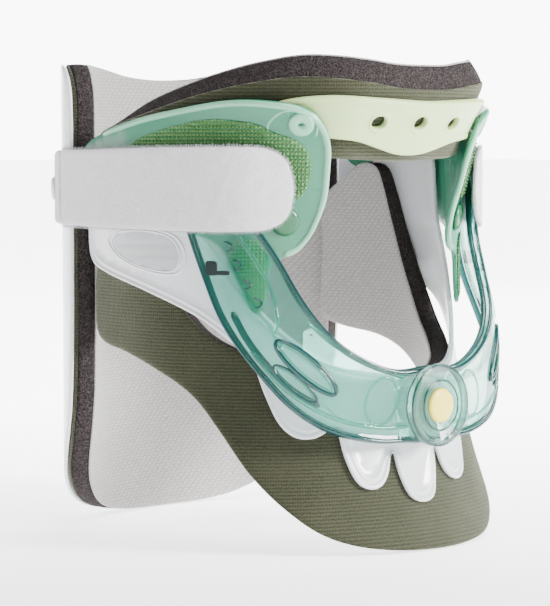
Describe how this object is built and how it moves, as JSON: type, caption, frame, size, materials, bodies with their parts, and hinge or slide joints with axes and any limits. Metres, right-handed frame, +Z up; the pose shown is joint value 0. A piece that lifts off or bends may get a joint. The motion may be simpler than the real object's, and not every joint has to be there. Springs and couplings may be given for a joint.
{
  "type": "cervical collar",
  "caption": "Two-piece rigid neck brace: padded front and back halves, clear yoke with a height dial that lifts the arms and chin cup, and hook-and-loop straps.",
  "frame": {"origin": "centre of the collar's footprint box, on the floor it stands on", "axes": "+Z up, -Y the way the wearer faces, +X the wearer's left"},
  "size_m": [0.168, 0.1694, 0.1845],
  "materials": {
    "loop_facing": "matte",
    "foam": "matte",
    "lining": "matte",
    "milky_panel": "satin",
    "teal_clear": "glossy",
    "green_clear": "satin",
    "hook_patch": "matte",
    "green_rivet": "glossy",
    "cream_cup": "satin",
    "yellow_button": "satin",
    "strap": "matte",
    "acetal": "satin"
  },
  "bodies": {
    "front_base": {"front_pad_facing": "loop_facing", "front_pad_foam": "foam", "front_pad_lining": "lining", "front_panel": "milky_panel", "yoke_frame": "teal_clear"},
    "height_dial": {"height_dial": "teal_clear", "drive_pinion": "acetal"},
    "lock_button": {"lock_button": "yellow_button"},
    "chin_lift": {"arm_right": "green_clear", "arm_left": "green_clear", "hook_patch_right": "hook_patch", "hook_patch_left": "hook_patch", "arm_rivet_right": "green_rivet", "arm_rivet_left": "green_rivet", "lift_rack_right": "acetal", "lift_rack_left": "acetal"},
    "chin_support": {"chin_cup": "cream_cup", "chin_pad_facing": "loop_facing", "chin_pad_foam": "foam", "chin_pad_lining": "lining", "chin_pivot_right": "cream_cup", "chin_pivot_left": "cream_cup"},
    "back_half": {"back_panel": "milky_panel", "back_pad_facing": "loop_facing", "back_pad_foam": "foam", "back_pad_lining": "lining", "strap_rivet_right": "milky_panel", "strap_rivet_left": "milky_panel", "strap_base_right": "strap", "strap_base_left": "strap"},
    "strap_right": {"strap_right": "strap", "strap_hook_tab_right": "strap"},
    "strap_left": {"strap_left": "strap", "strap_hook_tab_left": "strap"}
  },
  "joints": [
    {"name": "chin_height", "type": "slide", "parent": "front_base", "child": "chin_lift", "axis": [0, 0.2, 0.9798], "range_m": [-0.0127, 0.0127], "deforming": ["lift_rack_right", "lift_rack_left", "chin_pad_facing", "chin_pad_foam", "chin_pad_lining"]},
    {"name": "dial_turn", "type": "hinge", "parent": "front_base", "child": "height_dial", "pos_m": [0, -0.0779, 0.0535], "axis": [0, -1, 0], "range_deg": [-104.5, 104.5]},
    {"name": "button_press", "type": "slide", "parent": "height_dial", "child": "lock_button", "axis": [0, 1, 0], "range_m": [0, 0.0016], "stiffness_N_per_m": 300},
    {"name": "chin_tilt", "type": "hinge", "parent": "chin_lift", "child": "chin_support", "pos_m": [0, -0.0565, 0.1595], "axis": [1, 0, 0], "range_deg": [-1.5, 3]},
    {"name": "back_fit", "type": "slide", "parent": "front_base", "child": "back_half", "axis": [0, 1, 0], "range_m": [0, 0.03]},
    {"name": "strap_open_right", "type": "hinge", "parent": "back_half", "child": "strap_right", "pos_m": [-0.0766, 0.0471, 0.1345], "axis": [0, 0, -1], "range_deg": [0, 100], "deforming": ["strap_right", "strap_hook_tab_right"]},
    {"name": "strap_open_left", "type": "hinge", "parent": "back_half", "child": "strap_left", "pos_m": [0.0766, 0.0471, 0.1345], "axis": [0, 0, 1], "range_deg": [0, 100], "deforming": ["strap_left", "strap_hook_tab_left"]}
  ],
  "couplings": [
    {"joint": "dial_turn", "follows": "chin_height", "rad_per_m": -142.86}
  ]
}
